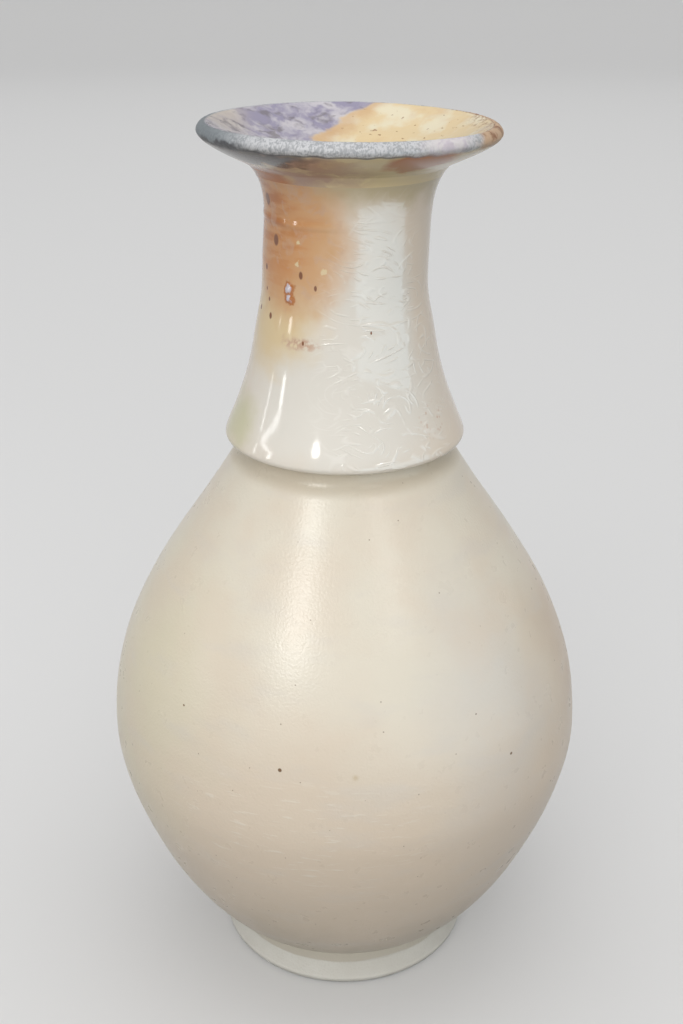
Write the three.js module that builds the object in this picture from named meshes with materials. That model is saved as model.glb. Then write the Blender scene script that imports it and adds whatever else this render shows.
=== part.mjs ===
// A wood-fired stoneware bottle vase, built from the sections it was thrown in.
// Four turned sections, a foot ring, a belly, a flared neck and a dish-shaped mouth, stand on each
// other. At every joint a short key or tongue of the one section sits in a socket of the next, and
// a thin ring of clay slip between the two flat seats bonds them.
// Units are millimetres, +Z is up and the origin is the middle of the face that the vase stands on.

import * as THREE from "three";

// Heights of the sections, from the table up
const FOOT_HEIGHT = 12.4;
const BODY_HEIGHT = 170.8;
const NECK_HEIGHT = 79.8;
const MOUTH_HEIGHT = 14.6;
const SLIP_THICKNESS = 0.8;

// Clay walls and floor
const BODY_WALL = 5;
const NECK_WALL = 5;
const MOUTH_WALL = 4.5;
const FLOOR_THICKNESS = 8.9;

// Joints: the play between a tongue or key and its socket, the tongues' size, and the flat seat
// round the throat's socket
const JOINT_CLEARANCE = 0.3;
const TONGUE_WIDTH = 2.6;
const THROAT_TONGUE_HEIGHT = 4;
const THROAT_SEAT_WIDTH = 3.2;
const MOUTH_TONGUE_HEIGHT = 2;
const BASE_KEY_DEPTH = 2.2;

// Foot ring: it spreads from its top past its glaze line, down to a rounded edge
const FOOT_TOP_RADIUS = 40.9;
const FOOT_LINE_SPREAD = 0.2;
const FOOT_LINE_HEIGHT = 8.3;
const FOOT_EDGE_SPREAD = 1.9;
const FOOT_EDGE_ROUNDING = 2.5;
const FOOT_RING_WIDTH = 7.1;
const FOOT_INNER_BEVEL = 1.3;

// Belly, with heights above its seat on the foot ring. Its underside overhangs the foot ring's top,
// and its shoulder steps in to the cove under the collar.
const UNDERSIDE_OVERHANG = 3.7;
const UNDERSIDE_RISE = 2.5;
const UNDERSIDE_ANGLE = 33;
const BELLY_RADIUS = 77.3;
const BELLY_HEIGHT = 72.9;
const SHOULDER_STEP = 1.75;
const SHOULDER_ANGLE = 122;
const COVE_RADIUS = 32.7;
const COVE_HEIGHT = 2.4;
const BASE_DOME = 0.8;

// Neck, with heights above its seat on the belly. The collar and its lower edge overhang the cove.
const COLLAR_OVERHANG = 4.3;
const COLLAR_HEIGHT = 4.1;
const COLLAR_EDGE_OVERHANG = 1.5;
const COLLAR_EDGE_HEIGHT = 2;
const COLLAR_EDGE_ANGLE = 25;
const FLARE_RADIUS = 27.7;
const FLARE_HEIGHT = 31.1;
const FLARE_ANGLE = 100;
const WAIST_RADIUS = 24.56;
const WAIST_HEIGHT = 57.7;
const NECK_TOP_RADIUS = 26.7;
const NECK_TOP_ANGLE = 62;

// Mouth, with the dish's height above its seat on the neck and the lip's depth below the crest
const DISH_RADIUS = 31.9;
const DISH_HEIGHT = 4.35;
const DISH_ANGLE = 25;
const LIP_RADIUS = 43.6;
const LIP_DEPTH = 2.4;
const LIP_ROUNDING = 2.2;
const CREST_WIDTH = 1.4;
const CREST_BEVEL = 0.5;

// Shapes of the stretches of outline: how long each one keeps its first heading and its last, as
// shares of the straight distance, and how many facets it has
const FOOT_EDGE = { first: 0.4, last: 0.4, steps: 3 };
const UNDERSIDE = { first: 0.3, last: 0.3, steps: 2 };
const LOWER_BELLY = { first: 0.222, last: 0.254, steps: 9 };
const UPPER_BELLY = { first: 0.398, last: 0.346, steps: 10 };
const COVE = { first: 0.4, last: 0.3, steps: 2 };
const COLLAR_ROLL = { first: 0.45, last: 0.35, steps: 3 };
const FLARE = { first: 0.071, last: 0.53, steps: 5 };
const WAIST = { first: 0.563, last: 0.55, steps: 5 };
const NECK_TOP = { first: 0.312, last: 0.304, steps: 5 };
const DISH_ROOT = { first: 0.335, last: 0.363, steps: 3 };
const DISH = { first: 0.7, last: 0.107, steps: 5 };
const LIP = { first: 0.37, last: 0.25, steps: 3 };
const BORE = { first: 0.35, last: 0.35, steps: 6 };
const THROAT = { first: 0.3, last: 0.3, steps: 2 };

// Facets around each turned section
const FACETS = 48;

// Headings of an outline, in degrees
const OUTWARDS = 0;
const UP = 90;
const INWARDS = 180;
const DOWN = -90;

// Levels of the seats, each worked out from the sections below it
const bodySeat = FOOT_HEIGHT + SLIP_THICKNESS;
const bodyTop = bodySeat + BODY_HEIGHT;
const neckSeat = bodyTop + SLIP_THICKNESS;
const neckTop = neckSeat + NECK_HEIGHT;
const mouthSeat = neckTop + SLIP_THICKNESS;
const crest = mouthSeat + MOUTH_HEIGHT;

// Radii that two sections share
const footSocket = FOOT_TOP_RADIUS - FOOT_RING_WIDTH;
const throatSocket = COVE_RADIUS - THROAT_SEAT_WIDTH;
const throatTongue = throatSocket - JOINT_CLEARANCE;
const throatRadius = throatTongue - TONGUE_WIDTH;
const mouthBore = NECK_TOP_RADIUS - NECK_WALL;
const mouthTongue = mouthBore + TONGUE_WIDTH;
const mouthSocket = mouthTongue + JOINT_CLEARANCE;
// The neck's outline runs on at one angle through the slip under the mouth.
const mouthSeatRadius = NECK_TOP_RADIUS + SLIP_THICKNESS / Math.tan(radians(NECK_TOP_ANGLE));

function radians(degrees) {
  return (degrees * Math.PI) / 180;
}

function opposite(degrees) {
  return degrees - 180;
}

// A point of an outline: its radius from the vase's axis and its height.
function at(radius, height) {
  return new THREE.Vector2(radius, height);
}

function towards(degrees) {
  return at(Math.cos(radians(degrees)), Math.sin(radians(degrees)));
}

// The point on the inside of a wall, square across it from a point of the outside.
function across(point, heading, wall) {
  return point.clone().addScaledVector(towards(heading + UP), wall);
}

// A smooth stretch of outline that leaves one point and arrives at another on given headings.
function sweep(from, leaving, to, arriving, shape) {
  const distance = from.distanceTo(to);
  const first = from.clone().addScaledVector(towards(leaving), shape.first * distance);
  const last = to.clone().addScaledVector(towards(arriving), -shape.last * distance);
  return new THREE.CubicBezierCurve(from, first, last, to).getPoints(shape.steps);
}

// The same shape for a stretch that runs the other way, down the inside of a wall, in one facet
// fewer.
function reversed(shape) {
  return { first: shape.last, last: shape.first, steps: shape.steps - 1 };
}

// One section turned about the vase's axis. Its outline runs anticlockwise, up the outside and down
// the inside. It starts and ends on the axis, or it is closed here.
function turned(name, outline, material) {
  const points = outline.filter((point, index, all) => {
    return index === 0 || point.distanceTo(all[index - 1]) > 0;
  });
  const isRing = points[0].x > 0;
  if (isRing) points.push(points[0].clone());
  const geometry = new THREE.LatheGeometry(points, FACETS);
  geometry.rotateX(Math.PI / 2);
  const mesh = new THREE.Mesh(geometry, material);
  mesh.name = name;
  return mesh;
}

function clay(color, roughness) {
  return new THREE.MeshStandardMaterial({ color, roughness, metalness: 0 });
}

// Foot ring: bare clay on its lower part, with the glaze line above, and hollow inside.
function footRing() {
  const edgeRadius = FOOT_TOP_RADIUS + FOOT_EDGE_SPREAD;
  const table = at(edgeRadius - FOOT_EDGE_ROUNDING, 0);
  const edge = at(edgeRadius, FOOT_EDGE_ROUNDING);
  const outline = [
    ...sweep(table, OUTWARDS, edge, UP, FOOT_EDGE),
    at(FOOT_TOP_RADIUS + FOOT_LINE_SPREAD, FOOT_LINE_HEIGHT),
    at(FOOT_TOP_RADIUS, FOOT_HEIGHT),
    at(footSocket, FOOT_HEIGHT),
    at(footSocket, FOOT_INNER_BEVEL),
    at(footSocket + FOOT_INNER_BEVEL, 0),
  ];
  return turned("foot_ring", outline, clay(0xcbc7ba, 0.9));
}

// Belly: a floor whose key drops into the foot ring, the round of the belly, and a short tongue
// round the throat.
function belly() {
  const keyRadius = footSocket - JOINT_CLEARANCE;
  const keyLevel = bodySeat - BASE_KEY_DEPTH;
  const floorLevel = keyLevel + FLOOR_THICKNESS;
  const bellyLevel = bodySeat + BELLY_HEIGHT;
  const tongueLevel = bodyTop + THROAT_TONGUE_HEIGHT;
  const undersideRadius = FOOT_TOP_RADIUS + UNDERSIDE_OVERHANG;

  const seatEdge = at(FOOT_TOP_RADIUS, bodySeat);
  const underside = at(undersideRadius, bodySeat + UNDERSIDE_RISE);
  const widest = at(BELLY_RADIUS, bellyLevel);
  const shoulder = at(COVE_RADIUS + SHOULDER_STEP, bodyTop - COVE_HEIGHT);
  const cove = at(COVE_RADIUS, bodyTop);

  const throat = at(throatRadius, bodyTop);
  const innerShoulder = across(shoulder, SHOULDER_ANGLE, BODY_WALL);
  const innerWidest = at(BELLY_RADIUS - BODY_WALL, bellyLevel);
  const floorEdge = at(undersideRadius - BODY_WALL / 2, floorLevel);

  const outline = [
    at(0, keyLevel + BASE_DOME),
    at(keyRadius - BODY_WALL, keyLevel),
    at(keyRadius, keyLevel),
    at(keyRadius, bodySeat),
    ...sweep(seatEdge, OUTWARDS, underside, UNDERSIDE_ANGLE, UNDERSIDE),
    ...sweep(underside, UNDERSIDE_ANGLE, widest, UP, LOWER_BELLY),
    ...sweep(widest, UP, shoulder, SHOULDER_ANGLE, UPPER_BELLY),
    ...sweep(shoulder, SHOULDER_ANGLE, cove, UP, COVE),
    at(throatTongue, bodyTop),
    at(throatTongue, tongueLevel),
    at(throatRadius, tongueLevel),
    ...sweep(throat, DOWN, innerShoulder, opposite(SHOULDER_ANGLE), THROAT),
    ...sweep(innerShoulder, opposite(SHOULDER_ANGLE), innerWidest, DOWN, reversed(UPPER_BELLY)),
    ...sweep(innerWidest, DOWN, floorEdge, opposite(UNDERSIDE_ANGLE), reversed(LOWER_BELLY)),
    at(0, floorLevel),
  ];
  return turned("body", outline, clay(0xd9cdb6, 0.55));
}

// Neck: its rolled collar overhangs the belly's shoulder, with a cove beneath, and holds the socket
// that the throat's tongue stands in. Above it the flare narrows to the waist and opens again.
function neck() {
  const socketLevel = bodyTop + THROAT_TONGUE_HEIGHT + JOINT_CLEARANCE;
  const tongueLevel = neckTop + MOUTH_TONGUE_HEIGHT;

  const cove = at(COVE_RADIUS, neckSeat);
  const edge = at(COVE_RADIUS + COLLAR_EDGE_OVERHANG, neckSeat + COLLAR_EDGE_HEIGHT);
  const collar = at(COVE_RADIUS + COLLAR_OVERHANG, neckSeat + COLLAR_HEIGHT);
  const flare = at(FLARE_RADIUS, neckSeat + FLARE_HEIGHT);
  const waist = at(WAIST_RADIUS, neckSeat + WAIST_HEIGHT);
  const top = at(NECK_TOP_RADIUS, neckTop);

  const innerTop = at(mouthBore, neckTop);
  const innerWaist = at(WAIST_RADIUS - NECK_WALL, neckSeat + WAIST_HEIGHT);
  const innerThroat = at(throatRadius, socketLevel);

  const outline = [
    at(throatSocket, neckSeat),
    ...sweep(cove, UP, edge, COLLAR_EDGE_ANGLE, COVE),
    ...sweep(edge, COLLAR_EDGE_ANGLE, collar, UP, COLLAR_ROLL),
    ...sweep(collar, UP, flare, FLARE_ANGLE, FLARE),
    ...sweep(flare, FLARE_ANGLE, waist, UP, WAIST),
    ...sweep(waist, UP, top, NECK_TOP_ANGLE, NECK_TOP),
    at(mouthTongue, neckTop),
    at(mouthTongue, tongueLevel),
    at(mouthBore, tongueLevel),
    ...sweep(innerTop, DOWN, innerWaist, DOWN, reversed(NECK_TOP)),
    ...sweep(innerWaist, DOWN, innerThroat, opposite(FLARE_ANGLE), BORE),
    at(throatSocket, socketLevel),
  ];
  return turned("neck", outline, clay(0xd6cfb4, 0.2));
}

// Mouth: a shallow dish on the neck, with a bevelled lip round its crest.
function mouth() {
  const socketLevel = neckTop + MOUTH_TONGUE_HEIGHT + JOINT_CLEARANCE;
  const seat = at(mouthSeatRadius, mouthSeat);
  const dish = at(DISH_RADIUS, mouthSeat + DISH_HEIGHT);
  const lip = at(LIP_RADIUS, crest - LIP_DEPTH);
  const outerCrest = at(LIP_RADIUS - LIP_ROUNDING, crest);

  const innerCrest = at(LIP_RADIUS - LIP_ROUNDING - CREST_WIDTH, crest - CREST_BEVEL);
  const innerDish = across(dish, DISH_ANGLE, MOUTH_WALL);
  const bore = at(mouthBore, socketLevel);

  const outline = [
    at(mouthSocket, mouthSeat),
    ...sweep(seat, NECK_TOP_ANGLE, dish, DISH_ANGLE, DISH_ROOT),
    ...sweep(dish, DISH_ANGLE, lip, UP, DISH),
    ...sweep(lip, UP, outerCrest, INWARDS, LIP),
    ...sweep(innerCrest, opposite(DISH_ANGLE), innerDish, opposite(DISH_ANGLE), THROAT),
    ...sweep(innerDish, opposite(DISH_ANGLE), bore, DOWN, BORE),
    at(mouthSocket, socketLevel),
  ];
  return turned("mouth", outline, clay(0xb9b3bd, 0.45));
}

// A ring of slip between two flat seats, wiped flush with the outside of the vase.
function slipRing(name, level, innerRadius, lowerRadius, upperRadius) {
  const outline = [
    at(innerRadius, level),
    at(lowerRadius, level),
    at(upperRadius, level + SLIP_THICKNESS),
    at(innerRadius, level + SLIP_THICKNESS),
  ];
  return turned(name, outline, clay(0xbdb39c, 0.8));
}

const vase = new THREE.Group();
vase.add(
  footRing(),
  slipRing("foot_slip", FOOT_HEIGHT, footSocket, FOOT_TOP_RADIUS, FOOT_TOP_RADIUS),
  belly(),
  slipRing("neck_slip", bodyTop, throatSocket, COVE_RADIUS, COVE_RADIUS),
  neck(),
  slipRing("mouth_slip", neckTop, mouthSocket, NECK_TOP_RADIUS, mouthSeatRadius),
  mouth(),
);

export default vase;
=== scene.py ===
# %% [markdown]
# # A wood-fired stoneware bottle vase
# The vase was thrown on the wheel in four sections: a foot ring, a belly, a neck and a dish-shaped
# mouth. They were joined with slip, glazed and fired with wood. This lesson turns each section
# from its outline, gives it the small unevenness of handwork, and builds its glaze from noise.
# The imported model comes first: it fixes how large every section is and where it sits.

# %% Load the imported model
from math import atan2, cos, degrees, hypot, pi, radians, sin, tan

import bmesh
import bpy
from mathutils import Matrix, Vector, noise
from mathutils.geometry import interpolate_bezier


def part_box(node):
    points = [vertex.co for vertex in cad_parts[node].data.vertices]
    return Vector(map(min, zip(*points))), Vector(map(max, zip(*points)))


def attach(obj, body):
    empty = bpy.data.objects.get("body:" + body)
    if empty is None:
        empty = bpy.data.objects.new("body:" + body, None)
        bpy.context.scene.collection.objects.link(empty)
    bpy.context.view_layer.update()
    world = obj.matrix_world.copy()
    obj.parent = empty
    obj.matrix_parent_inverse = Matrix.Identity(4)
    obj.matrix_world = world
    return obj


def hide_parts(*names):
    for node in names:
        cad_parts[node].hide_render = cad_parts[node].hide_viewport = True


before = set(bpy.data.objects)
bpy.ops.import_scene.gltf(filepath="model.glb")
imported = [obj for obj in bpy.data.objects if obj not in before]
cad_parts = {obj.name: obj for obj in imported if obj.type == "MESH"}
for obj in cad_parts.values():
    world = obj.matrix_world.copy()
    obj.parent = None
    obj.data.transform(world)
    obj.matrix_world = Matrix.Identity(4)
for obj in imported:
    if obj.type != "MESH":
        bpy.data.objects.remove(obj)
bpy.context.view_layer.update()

print("sections:", sorted(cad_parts))

# %% [markdown]
# ## Levels and radii
# Each section's box says where its seats are and how far it reaches. Reading them from the frame
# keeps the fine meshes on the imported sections. Outlines are written in millimetres, as a potter
# measures, and turned into Blender's metres when they are spun.

# %% Measure the sections
MM = 0.001


def low(node):
    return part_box(node)[0][2] / MM


def top(node):
    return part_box(node)[1][2] / MM


def reach(node):
    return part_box(node)[1][0] / MM


foot_top = top("foot_ring")
belly_seat = top("foot_slip")
belly_top = low("neck_slip")
neck_seat = top("neck_slip")
neck_top = low("mouth_slip")
mouth_seat = top("mouth_slip")
crest = top("mouth")
slip_thickness = belly_seat - foot_top
print(f"seats at {belly_seat:.1f}, {neck_seat:.1f} and {mouth_seat:.1f} mm, crest at {crest:.1f} mm")

# %% [markdown]
# ## The camera
# The photograph was taken by hand, close by and a little above the rim, so the mouth shows as a
# flat oval and the foot curves. A camera at the same distance, height and tilt gives the same
# curves; a longer lens from further away would flatten them.

# %% Place the camera
CAMERA_DISTANCE = 380.6
CAMERA_HEIGHT = 330.45
CAMERA_SIDESTEP = -1.0
CAMERA_TILT = 24.41
LENS = 45.7

scene = bpy.context.scene
camera = bpy.data.objects.new("camera", bpy.data.cameras.new("camera"))
camera.data.lens = LENS
camera.location = Vector((CAMERA_SIDESTEP, -CAMERA_DISTANCE, CAMERA_HEIGHT)) * MM
camera.rotation_euler = (radians(90 - CAMERA_TILT), 0, 0)
scene.collection.objects.link(camera)
scene.camera = camera
scene.view_settings.view_transform = "Standard"
print(f"camera {CAMERA_HEIGHT - crest:.0f} mm above the rim, looking {CAMERA_TILT} degrees down")

# %% [markdown]
# ## Drawing an outline
# A thrown pot is a curve carried round an axis. Each stretch of outline leaves one point on a
# heading and arrives at the next on another, which is what the two handles of a Bezier curve say,
# so a few points give the whole profile. Headings are degrees above the outward direction.

# %% Outline helpers
OUTWARDS = 0
UP = 90
INWARDS = 180
DOWN = -90


def at(radius, height):
    return Vector((radius, height))


def towards(heading):
    return Vector((cos(radians(heading)), sin(radians(heading))))


def sweep(start, leaving, end, arriving, keep, spacing):
    """A curve with rows about spacing mm apart. keep says how long it holds its two headings."""
    distance = (end - start).length
    first = start + towards(leaving) * keep[0] * distance
    last = end - towards(arriving) * keep[1] * distance
    rows = max(3, round(distance / spacing))
    return interpolate_bezier(start, first, last, end, rows + 1)


def straight(start, end, spacing):
    rows = max(1, round((end - start).length / spacing))
    return [start.lerp(end, row / rows) for row in range(rows + 1)]


def across(point, heading, wall):
    """The point on the inside of a wall, square across it from a point of the outside."""
    return point + towards(heading + UP) * wall


# %% [markdown]
# ## Turning and shaping a section
# Spin carries the outline round the axis as a potter's wheel does. Its time grows with the square
# of its points, so it turns one eighth of the section, which is then copied and turned on by an
# eighth, a quarter and a half. The seams and the points that meet on the axis are merged, and the
# normals are worked out again, because a spin can turn a shape inside out. The wheel makes a perfect
# shape and hands don't, so every point is then moved by a small formula: this is real relief, not a
# trick of the shading.

# %% Turning helpers
SHARP_ANGLE = 40
MERGE_DISTANCE = 0.001
EIGHTH = pi / 4
# Steps of a full turn: the blisters and the crust need finer ones
TURN_STEPS = 360
NECK_STEPS = 400
CRUST_STEPS = 720


def turned(outline, steps, closed=True):
    """A mesh from an outline that starts and ends on the axis, or closes on itself if closed."""
    mesh = bmesh.new()
    chain = [mesh.verts.new((point.x * MM, 0, point.y * MM)) for point in outline]
    edges = [mesh.edges.new(pair) for pair in zip(chain, chain[1:])]
    if closed:
        edges.append(mesh.edges.new((chain[-1], chain[0])))
    bmesh.ops.spin(
        mesh, geom=chain + edges, cent=(0, 0, 0), axis=(0, 0, 1), dvec=(0, 0, 0),
        angle=EIGHTH, steps=steps // 8, use_merge=False, use_duplicate=False,
    )
    for turn in (EIGHTH, 2 * EIGHTH, 4 * EIGHTH):
        whole = mesh.verts[:] + mesh.edges[:] + mesh.faces[:]
        copy = bmesh.ops.duplicate(mesh, geom=whole)["geom"]
        points = [part for part in copy if isinstance(part, bmesh.types.BMVert)]
        bmesh.ops.rotate(mesh, verts=points, cent=(0, 0, 0), matrix=Matrix.Rotation(turn, 3, "Z"))
    bmesh.ops.remove_doubles(mesh, verts=mesh.verts, dist=MERGE_DISTANCE * MM)
    bmesh.ops.recalc_face_normals(mesh, faces=mesh.faces)
    return mesh


def carved(mesh, relief):
    """Moves every point along its normal by relief, a function of its place in millimetres."""
    mesh.normal_update()
    depths = [relief(vert.co / MM) for vert in mesh.verts]
    for vert, depth in zip(mesh.verts, depths):
        vert.co += vert.normal * depth * MM


def section(name, mesh, node, finish):
    """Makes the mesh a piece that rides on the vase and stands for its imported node."""
    for vert in mesh.verts:
        vert.co = settled(vert.co / MM) * MM
    for face in mesh.faces:
        face.smooth = True
    for edge in mesh.edges:
        edge.smooth = edge.calc_face_angle(0) < radians(SHARP_ANGLE)
    data = bpy.data.meshes.new(name)
    mesh.to_mesh(data)
    mesh.free()
    data.materials.append(finish)
    piece = bpy.data.objects.new(name, data)
    scene.collection.objects.link(piece)
    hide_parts(node)
    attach(piece, "root")
    print(f"{name}: {len(data.polygons)} faces")
    return piece


# %% [markdown]
# ## How the vase settled in the kiln
# The neck leans about a millimetre to the right and the rim dips a little on that side, which the
# photograph shows and a kiln often does. Both start from nothing at their lower end, so the
# sections still meet. The same move is applied to every section.

# %% The lean and the dip
LEAN = 1.3
LEAN_FROM = 232
LEAN_TO = 268
RIM_DIP = 0.28

lip_radius = reach("mouth")


def smooth_step(value, start, end):
    share = min(max((value - start) / (end - start), 0), 1)
    return share * share * (3 - 2 * share)


def settled(point):
    side = 1 + point.x / lip_radius
    dip = RIM_DIP * side * side * smooth_step(point.z, mouth_seat, crest)
    lean = LEAN * smooth_step(point.z, LEAN_FROM, LEAN_TO)
    return point + Vector((lean, 0, -dip))


def azimuth(point):
    """Degrees round the vase from the front, positive to the right."""
    return degrees(atan2(point.x, -point.y))


def ripple(point, pitch):
    """The spiral that fingers leave on the turning clay, from -1 to 1."""
    return sin(2 * pi * point.z / pitch + radians(azimuth(point)))


def unevenness(point, size):
    return noise.noise(point / size)


# %% [markdown]
# ## Colours and shader helpers
# Glaze colours are written as the 0 to 255 numbers that a picture editor shows, and converted to
# the linear values that a shader needs. A node tree is easier to read as layers of paint, so the
# helpers below each add a node or two and give back the output to build on.

# %% Colour
def paint(red, green, blue):
    def linear(value):
        share = value / 255
        return share / 12.92 if share <= 0.04045 else ((share + 0.055) / 1.055) ** 2.4

    return (linear(red), linear(green), linear(blue), 1)


# %% Node helpers
def add(tree, kind, inputs, **options):
    """Adds a node. Each input is a number, a colour or another node's output."""
    node = tree.nodes.new("ShaderNode" + kind)
    for option, value in options.items():
        setattr(node, option, value)
    for socket, value in inputs.items():
        if isinstance(value, bpy.types.NodeSocket):
            tree.links.new(value, node.inputs[socket])
        else:
            node.inputs[socket].default_value = value
    return node


def between(tree, value, start, end):
    """0 up to start, 1 from end on, and a smooth step between them."""
    inputs = {"Value": value, "From Min": start, "From Max": end}
    return add(tree, "MapRange", inputs, interpolation_type="SMOOTHSTEP").outputs["Result"]


def combine(tree, operation, first, second):
    return add(tree, "Math", {0: first, 1: second}, operation=operation).outputs["Value"]


def both(tree, first, second):
    return combine(tree, "MULTIPLY", first, second)


def layer(tree, mask, under, over):
    """Paints over on top of under where the mask is 1."""
    return add(tree, "Mix", {0: mask, 6: under, 7: over}, data_type="RGBA").outputs[2]


# %% Pattern helpers
def clouds(tree, place, size, detail=3.0):
    """Soft noise with marks about size mm across."""
    inputs = {"Vector": place, "Scale": 1 / (size * MM), "Detail": detail}
    return add(tree, "TexNoise", inputs).outputs["Fac"]


def stretched(tree, place, scale):
    """The same places with each axis scaled, so that a pattern there is drawn out."""
    return add(tree, "Mapping", {"Vector": place, "Scale": scale}).outputs["Vector"]


def wandering(tree, place, size, amount, detail=3.0):
    """The same places pushed about by up to amount mm, so that an edge drawn there wanders."""
    inputs = {"Vector": place, "Scale": 1 / (size * MM), "Detail": detail}
    push = add(tree, "TexNoise", inputs).outputs["Color"]
    centred = add(tree, "VectorMath", {0: push, 1: (0.5, 0.5, 0.5)}, operation="SUBTRACT")
    span = (4 * amount * MM,) * 3
    inputs = {0: centred.outputs["Vector"], 1: span, 2: place}
    return add(tree, "VectorMath", inputs, operation="MULTIPLY_ADD").outputs["Vector"]


def patch(tree, place, centre, radii, soft=0.5):
    """1 inside an egg-shaped patch with its centre and radii in mm, fading out at its edge."""
    shift = [-middle / radius for middle, radius in zip(centre, radii)]
    scale = [1 / (radius * MM) for radius in radii]
    inputs = {"Vector": place, "Location": shift, "Scale": scale}
    inside = add(tree, "Mapping", inputs).outputs["Vector"]
    ball = add(tree, "TexGradient", {"Vector": inside}, gradient_type="SPHERICAL")
    return between(tree, ball.outputs["Fac"], 0, soft)


def specks(tree, place, spacing, radius, share):
    """1 on round specks at random places. share is the part of the cells that hold one."""
    cells = add(tree, "TexVoronoi", {"Vector": place, "Scale": 1 / (spacing * MM)})
    size = radius / spacing
    near = between(tree, cells.outputs["Distance"], size, size / 2)
    chance = add(tree, "SeparateColor", {"Color": cells.outputs["Color"]}).outputs["Red"]
    return both(tree, near, combine(tree, "LESS_THAN", chance, share))


# %% Finish helpers
def new_finish(name):
    """A material, its node tree and the places on the piece in metres."""
    material = bpy.data.materials.new(name)
    material.use_nodes = True
    tree = material.node_tree
    place = add(tree, "TexCoord", {}).outputs["Object"]
    return material, tree, place


def bumped(tree, height, depth, under=None):
    """Bends the shading normal as if the height, from 0 to 1, stood depth mm proud."""
    inputs = {"Height": height, "Distance": depth * MM, "Strength": 1.0}
    if under:
        inputs["Normal"] = under
    return add(tree, "Bump", inputs).outputs["Normal"]


def fill_shader(tree, colour, roughness, normal):
    shader = tree.nodes["Principled BSDF"]
    tree.links.new(colour, shader.inputs["Base Color"])
    tree.links.new(roughness, shader.inputs["Roughness"])
    tree.links.new(normal, shader.inputs["Normal"])
    return shader


def height_of(tree, place):
    """The height above the table in mm."""
    metres = add(tree, "SeparateXYZ", {"Vector": place}).outputs["Z"]
    return combine(tree, "DIVIDE", metres, MM)


# %% [markdown]
# ## Bare clay
# The foot ring's lower edge was wiped clean before firing, so the clay itself shows: pale, dry and
# gritty, with a few iron grains. Above a wavy line the glaze starts. A height mask on wandering
# places draws that line, and the same height decides the roughness.

# %% The foot ring's finish
GLAZE_LINE = 8.3
BARE_CLAY = paint(212, 210, 202)
CLAY_SHADE = paint(196, 192, 182)
FOOT_GLAZE = paint(196, 190, 176)
IRON = paint(124, 98, 72)


def bare_clay():
    material, tree, place = new_finish("bare_clay")
    grit = clouds(tree, place, 0.7, 5.0)
    tone = both(tree, between(tree, clouds(tree, place, 14), 0.35, 0.7), 0.4)
    colour = layer(tree, tone, BARE_CLAY, CLAY_SHADE)
    colour = layer(tree, both(tree, between(tree, grit, 0.5, 0.75), 0.3), colour, CLAY_SHADE)
    colour = layer(tree, both(tree, specks(tree, place, 4, 0.22, 0.2), 0.6), colour, IRON)
    level = height_of(tree, wandering(tree, place, 14, 0.5))
    glazed = between(tree, level, GLAZE_LINE - 0.3, GLAZE_LINE + 0.3)
    colour = layer(tree, glazed, colour, FOOT_GLAZE)
    roughness = combine(tree, "SUBTRACT", 0.85, both(tree, glazed, 0.4))
    normal = bumped(tree, grit, 0.12)
    fill_shader(tree, colour, roughness, normal)
    return material


# %% [markdown]
# ## Satin glaze
# The belly's glaze is a thin cream coat with a low sheen. Its colour shifts in large, faint clouds:
# warmer low down, greener to the left, greyer and then tan to the right. A painted shade darkens it
# towards the foot, and another lies in the cove under the collar. Each cloud is a patch named with
# its centre and its radii, or a pair of levels between which it sets in. Iron in the clay comes
# through as pinhead specks. The sheen is grainy, so the finest bump matters most: it breaks the
# highlight up.

# %% The belly's colours and marks
CREAM = paint(227, 220, 204)
WARM_CREAM = paint(223, 208, 189)
GREEN_CREAM = paint(221, 213, 188)
GREY_CREAM = paint(214, 208, 200)
TAN_CREAM = paint(210, 192, 170)
FOOT_SHADE_CREAM = paint(186, 174, 153)
PALE_CREAM = paint(238, 233, 222)
FAINT_TAN = paint(210, 194, 168)
COVE_SHADE_CREAM = paint(192, 181, 160)
WARM_LEVELS = (150, 75)
FOOT_SHADE_LEVELS = (70, 5)
COVE_SHADE_LEVELS = (belly_top - 7, belly_top - 3)
GRAIN_SIZE = 0.8
GRAIN_DEPTH = 0.08
SKIN_SIZE = 5
SKIN_DEPTH = 0.012
SCRATCH_DEPTH = 0.03
GREEN_SIDE = ((-62, -30, 110), (50, 60, 75))
GREY_SIDE = ((44, -54, 120), (30, 34, 70))
TAN_SIDE = ((84, -10, 130), (40, 50, 90))
WORN_FRONT = ((-14, -72, 84), (62, 50, 28))
IRON_MARKS = [(-18.7, -72.3, 109.2, 0.7), (38.3, -60.2, 120.2, 0.4), (49.7, -57.0, 104.4, 0.5),
              (-47.8, -53.5, 119.0, 0.4), (-28.6, -64.2, 92.0, 0.5)]
FAINT_MARKS = [(3.0, -74.8, 108.3, 1.4), (-30.2, -53.0, 148.0, 1.6), (4.6, -71.0, 134.0, 0.9)]


def iron_marks(tree, place, colour, marks, tint, soft=0.4):
    """Paints a speck of iron at each named place, given with its radius."""
    for x, y, z, radius in marks:
        mark = patch(tree, place, (x, y, z), (radius, 2 * radius, radius), soft)
        colour = layer(tree, mark, colour, tint)
    return colour


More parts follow.
